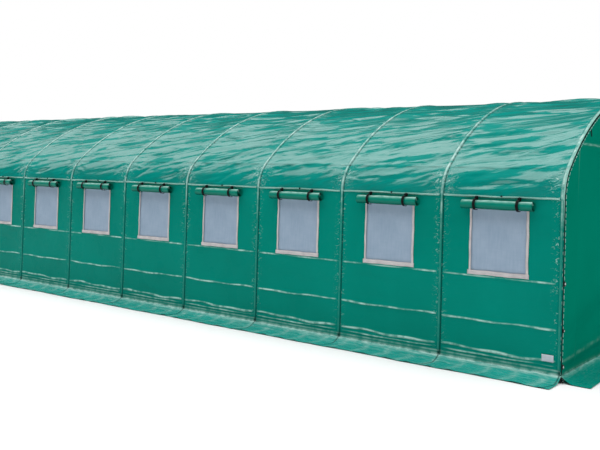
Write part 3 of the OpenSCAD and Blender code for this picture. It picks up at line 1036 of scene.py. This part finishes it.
def windows(side):
    """The net, binding, rolled flap and straps of one window, then copied to each bay."""
    name = SIDE_NAMES[side]
    net0 = window_net(bay_xs[0], side)
    binding0 = window_binding(bay_xs[0], side)
    roll0 = window_roll(bay_xs[0], side)
    straps = []
    for m in (-1, 1):
        centre = (bay_xs[0] + m * strap_half, side * roll_y, roll_z)
        straps += roll_strap(centre, (1, 0, 0), (0, side, 0), roll_r)
    button_at = (bay_xs[0] + 0.02, side * (half_w + 0.006), eave_z + 0.004)
    button = turned(button_at, (0, side, 0.3), BUTTON, 10)
    strap0 = joined(straps + [button])
    for k, x in enumerate(bay_xs, 1):
        carry = Matrix.Translation((x - bay_xs[0], 0, 0))
        net, binding, roll, strap = (copy_to(one, carry) for one in (net0, binding0, roll0, strap0))
        settle(net, f"window_net_{name}_{k}", NET)
        settle(binding, f"window_binding_{name}_{k}", BINDING)
        settle(roll, f"window_roll_{name}_{k}", ROLL_FILM)
        settle(strap, f"roll_straps_{name}_{k}", BLACK_TAPE)
        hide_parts(f"window_nets_{name}")
        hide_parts(f"window_rolls_{name}")
        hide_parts(f"roll_straps_{name}")
    for spare in (net0, binding0, roll0, strap0):
        bpy.data.objects.remove(spare)


# ---------------------------------------------------------------- skirts, end edges, doors

SLOPE_W, LYING_Z = 0.080, 0.0025
SKIRT_TRIM = 0.006  # a skirt's rim wanders this much inside the CAD's


def skirt_height(out):
    """Height of the skirt at a distance out from the wall."""
    t = np.clip(out / SLOPE_W, 0, 1)
    return LYING_Z + (fold_z - LYING_Z) * (1 - t) ** 1.5


def ripple(along, out, phase):
    """Waves that run out across a skirt, and die down at its fold."""
    free = np.clip(out / 0.06, 0, 1)
    waves = 0.5 + 0.5 * np.sin(along * 31 + 9 * out + phase + 1.7 * np.sin(along * 5.3 + phase))
    small = 0.5 + 0.5 * np.sin(along * 83 - 23 * out + 2.1 * np.sin(along * 13 + phase))
    return free * (0.0055 * waves * waves + 0.0022 * small)


def side_skirt(side):
    """The skirt along a wall, rippled, with a fold that runs out from each hoop."""
    def place(x, v):
        out = v * (skirt_w - SKIRT_TRIM + 0.005 * np.sin(x * 6.1 + side) + 0.002 * np.sin(x * 19.0))
        z = skirt_height(out) + ripple(x, out, 1.0 + side) * (1 - 0.9 * bell(from_hoop(x), 0.02))
        d = from_hoop(x + 0.04 * v * v)
        # a painted shade line along the seam at each hoop, beside the lift where one panel lies over the
        # next
        seam = bell(d - 0.004, 0.0050)
        z = z + 0.003 * bell(d + 0.010, 0.010) * v
        # pale streaks across the skirt and a pale line along its fold, both painted highlights
        highlight_streak = np.clip(np.sin(x * 31 + 9 * out + 2.5), 0, 1) ** 3 * 0.45
        return x, side * (half_w + out), z, np.maximum(bell(v, 0.085), highlight_streak), 0.95 * seam, 0.35 + 0 * x

    us = steps(-end_x, end_x, 0.020, *[(x - 0.02, 0.048, 0.004) for x in hoop_xs])
    obj = cloth_grid(us, np.linspace(0, 1, 19), place)
    face_outwards(obj, Vector((0, 0, -3)))
    name = SIDE_NAMES[side]
    settle(obj, f"ground_skirt_{name}", SKIRT_FILM)
    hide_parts(f"skirt_{name}")


def end_skirt(end):
    """The skirt of an end wall, in two pieces with the doorway between them."""
    parts = []
    for side in (FRONT, BACK):
        def place(y, v):
            out = v * (skirt_w - SKIRT_TRIM + 0.004 * np.sin(y * 7.0))
            z = skirt_height(out) + 0.6 * ripple(y, out, 2.0 + side)
            # a pale painted highlight along the skirt's fold
            return end * (end_x + out), y, z, 0.5 * bell(v, 0.08), 0 * y, 0.2 + 0 * y

        low, high = sorted((side * door_half, side * (half_w - 0.001)))
        part = cloth_grid(np.linspace(low, high, 50), np.linspace(0, 1, 15), place)
        face_outwards(part, Vector((0, 0, -3)))
        parts.append(part)
    name = END_NAMES[end]
    obj = join(parts, f"ground_skirt_{name}", WALL_FILM)
    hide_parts(f"skirt_{name}")


def marks_up(on_wall, on_bend, on_crown):
    """Marks up the section from its foot to the ridge, so many on the wall, the bend and the crown."""
    bend_top = wall_len + bend_len
    return np.concatenate([np.linspace(0.01, wall_len, on_wall),
                           np.linspace(wall_len, bend_top, on_bend)[1:],
                           np.linspace(bend_top, wall_len + roof_len, on_crown)[1:]])


def edge_path(inset):
    """Points along an end's edge, a distance in from it, from the front foot over to the back foot."""
    y, z = section(marks_up(40, 16, 50), -inset, FRONT)
    return np.concatenate([y, -y[-2::-1]]), np.concatenate([z, z[-2::-1]])


SEAM_OUT, SEAM_IN = 0.0015, 0.0135  # the black seam's two rims, in from the edge
STITCH_LINE, STITCH_PITCH = 0.0195, 0.041
LOOSE_ENDS = ((-1.02, 1.66, 0.05, 0.35), (-0.62, 1.84, 0.03, -0.2), (0.9, 1.70, 0.045, 0.3))


def end_edge(end):
    """The laced edge of an end: a band over the corner with painted highlights and painted shade, a black
    seam, and a lacing cord beside it.
    """
    name = END_NAMES[end]
    bands = []
    for side in (FRONT, BACK):
        def place(u, v):
            width = np.where(v < wall_len, 0.0065, 0.0130)
            x = end * (end_x - width + (width - 0.0005) * u)
            bulge = 0.0024 * np.sin(u * math.pi) + 0.0010
            y, z = section(v, bulge, side)
            arch = np.clip((v - wall_len + 0.20) / 0.20, 0, 1)
            # pale specks on the wall and a pale band along the arch, painted highlights, with painted
            # shade on the wall along the band's edge nearest the end
            speck_highlights = (np.sin(v * 97.0) * np.sin(v * 41.0 + u) + 0.4 * np.sin(v * 213.0) > 0.45) * 0.7
            return x, y, z, np.maximum(0.85 * arch, speck_highlights), 0.7 * (1 - arch) * bell(u - 1, 0.5), 0

        band = cloth_grid(np.linspace(0, 1, 6), marks_up(120, 18, 60), place)
        face_outwards(band, Vector((end * end_x, 0, 0.4)))
        bands.append(band)
    join(bands, f"edge_band_{name}", WALL_FILM)

    y_out, z_out = edge_path(SEAM_OUT)
    y_in, z_in = edge_path(SEAM_IN)
    count = len(y_out)

    def seam_place(u, v):
        index = np.clip(np.rint(v * (count - 1)).astype(int), 0, count - 1)
        gap = 0.0020 * np.sin(index * 1.9) + 0.0015 * np.sin(index * 0.7)
        t = np.clip(u + gap / 0.012 * u, 0, 1)
        x = end * (end_x + 0.0012 + 0.0010 * np.sin(u * math.pi))
        return x, y_out[index] * (1 - t) + y_in[index] * t, z_out[index] * (1 - t) + z_in[index] * t

    seam = cloth_grid(np.linspace(0, 1, 4), np.linspace(0, 1, count), seam_place)
    face_outwards(seam, Vector((0, 0, 1)))
    tails = [seam]
    for y, z, length, lean in LOOSE_ENDS:
        tails.append(block((0.003, 0.011, length), (end * (end_x + 0.004), y * end, z), 0.001,
                           Matrix.Rotation(lean, 3, "X")))
    join(tails, f"edge_seam_{name}", BLACK_TAPE)

    ys, zs = edge_path(STITCH_LINE)
    run = np.concatenate([[0], np.cumsum(np.hypot(np.diff(ys), np.diff(zs)))])
    stitch = block((0.0040, 0.0050, 0.027), (0, 0, 0), 0.0012)
    stitches = []
    for k, at in enumerate(np.arange(0.05, run[-1] - 0.03, STITCH_PITCH)):
        y, z = np.interp(at, run, ys), np.interp(at, run, zs)
        y2, z2 = np.interp(at + 0.01, run, ys), np.interp(at + 0.01, run, zs)
        lean = math.atan2(-(y2 - y), z2 - z) + 0.12 * math.sin(k * 2.3)
        stitches.append(copy_to(stitch, Matrix.Translation((end * (end_x + 0.0015), y, z))
                                @ Matrix.Rotation(lean, 4, "X")))
    bpy.data.objects.remove(stitch)
    join(stitches, f"edge_lacing_{name}", LACING)

    studs, caps = [], []
    for side in (FRONT, BACK):
        for rail in ("base_rail", "low_rail", "waist_rail"):
            size = 0.8 if rail == "low_rail" else 1.2
            at = Vector((end * (end_x + 0.001), side * (half_w - 0.016), rail_z[rail] + 0.004))
            studs.append(turned(at, (end, 0, 0), [(r * size, h) for r, h in WASHER], 16))
            caps.append(turned(at + Vector((end * 0.0068, 0, 0)), (end, 0, 0),
                               [(r * size, h) for r, h in BOLT_CAP], 12))
    join(studs, f"corner_washers_{name}", BLACK_KNOB)
    join(caps, f"corner_bolts_{name}", PALE_CAP)


DOOR_TURNS, DOOR_CORE, DOOR_STEPS = 4.6, 0.013, 28


def door(end):
    """A rolled-up door over its doorway, with its straps, and the zip tape down each side."""
    name = END_NAMES[end]
    turns = np.linspace(0, DOOR_TURNS, int(DOOR_STEPS * DOOR_TURNS))
    reach = door_roll_x - end_x

    def place(u, v):
        inward = np.clip(v, 0, None)
        loose = 0.0016 * np.sin(u * 13.0 + inward * 5.0) + 0.0010 * np.sin(u * 37.0 - inward * 9.0)
        taut = 0.004 * sum(bell(u - m * door_strap_half, 0.016) for m in (-1, 1))
        radius = door_roll_r - 0.002 - (door_roll_r - DOOR_CORE) * inward / DOOR_TURNS
        radius = radius - taut * (1 - inward / DOOR_TURNS)
        radius = radius + loose * (inward > 0.05)
        angle = math.pi + inward * 2 * math.pi
        out = reach + radius * np.cos(angle)
        z = door_roll_z + radius * np.sin(angle)
        out = np.where(v < 0, reach - door_roll_r + 0.0025, out)
        z = np.where(v < 0, door_roll_z - v, z)
        return end * (end_x + out), u, z, *roll_shades(angle, 0.7)

    tail = list(-np.linspace(door_roll_r + 0.02, 0, 5)[:-1])
    columns = steps(-door_roll_half, door_roll_half, 0.035, (-door_strap_half, 0.02, 0.01),
                    (door_strap_half, 0.02, 0.01))
    roll = cloth_grid(columns, tail + list(turns + 1e-6), place)
    face_outwards(roll, Vector((end * door_roll_x, 0, door_roll_z)), Vector((1, 0, 1)))
    settle(roll, f"door_roll_{name}", ROLL_FILM)
    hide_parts(f"rolled_door_{name}")
    straps = []
    for m in (-1, 1):
        centre = (end * door_roll_x, m * door_strap_half, door_roll_z)
        straps += roll_strap(centre, (0, 1, 0), (end, 0, 0), door_roll_r)
    strap = join(straps, f"door_straps_{name}_tape", BLACK_TAPE)
    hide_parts(f"door_straps_{name}")
    zips = []
    for m in (-1, 1):
        def place(u, v):
            x = end * (end_x + 0.0008 + 0.0012 * np.sin(u * math.pi))
            return x, m * (door_half + 0.003 + 0.026 * u), v

        up = np.linspace(fold_z + 0.01, door_top - 0.02, 60)
        tape_side = cloth_grid(np.linspace(0, 1, 6), up, place)
        face_outwards(tape_side, Vector((0, 0, 0.8)))
        zips.append(thicken(tape_side, 0.0010))
        teeth_at = (end * (end_x + 0.004), m * (door_half + 0.016), (door_top + fold_z) / 2)
        zips.append(block((0.004, 0.007, door_top - fold_z - 0.06), teeth_at, 0.0015))
    join(zips, f"door_zips_{name}", BLACK_TAPE)


def label():
    """A blank cloth label on the wall, a little curled."""
    low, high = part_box("blank_label")
    mid = (low + high) / 2
    size = high - low

    def place(u, v):
        curl = 0.0010 * (u * u) + 0.0008 * np.sin(v * 2.0 + u)
        return mid.x + u * size.x / 2, low.y - 0.0045 - curl, mid.z + v * size.z / 2

    obj = cloth_grid(np.linspace(-1, 1, 13), np.linspace(-1, 1, 9), place)
    face_outwards(obj, Vector((mid.x, 0, mid.z)))
    thicken(obj, 0.0008)
    settle(obj, "care_label_blank", LABEL)
    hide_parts("blank_label")


def connectors():
    """Sleeves that join the long tubes to the hoops, and a foot under each hoop."""
    along = ["ridge_tube"] + [f"{n}_{SIDE_NAMES[side]}" for n in rail_z for side in (FRONT, BACK)]
    one = turned((0, 0, 0), (1, 0, 0), SLEEVE, 12)
    other = turned((0, 0, 0), (-1, 0, 0), SLEEVE, 12)
    sleeves = []
    for tube in along:
        centre = middle(tube)
        for x in hoop_xs:
            for piece, way in ((one, 1), (other, -1)):
                if abs(x + way * 0.05) < hoop_xs[-1]:
                    spot = Vector((x + way * (tube_r + 0.001), centre.y, centre.z))
                    sleeves.append(copy_to(piece, Matrix.Translation(spot)))
    join(sleeves, "tube_sleeves", ZINC)
    for spare in (one, other):
        bpy.data.objects.remove(spare)
    foot = turned((0, 0, 0), (0, 0, 1), FOOT, 16)
    feet = [copy_to(foot, Matrix.Translation((x, side * tube_y, 0)))
            for x in hoop_xs for side in (FRONT, BACK)]
    bpy.data.objects.remove(foot)
    join(feet, "hoop_feet", BLACK_KNOB)


# ---------------------------------------------------------------- the whole tunnel

camera()
for side in (FRONT, BACK):
    roof_half(side)
    side_wall(side)
    eave_seams(side)
    windows(side)
    side_skirt(side)
for end in (LEFT, RIGHT):
    end_wall(end)
    end_skirt(end)
    end_edge(end)
    door(end)
label()
connectors()

# The frame's own tubes still show, and only take their zinc
for node in nodes.values():
    if not node.hide_render:
        node.data.materials.clear()
        node.data.materials.append(ZINC)

studio()
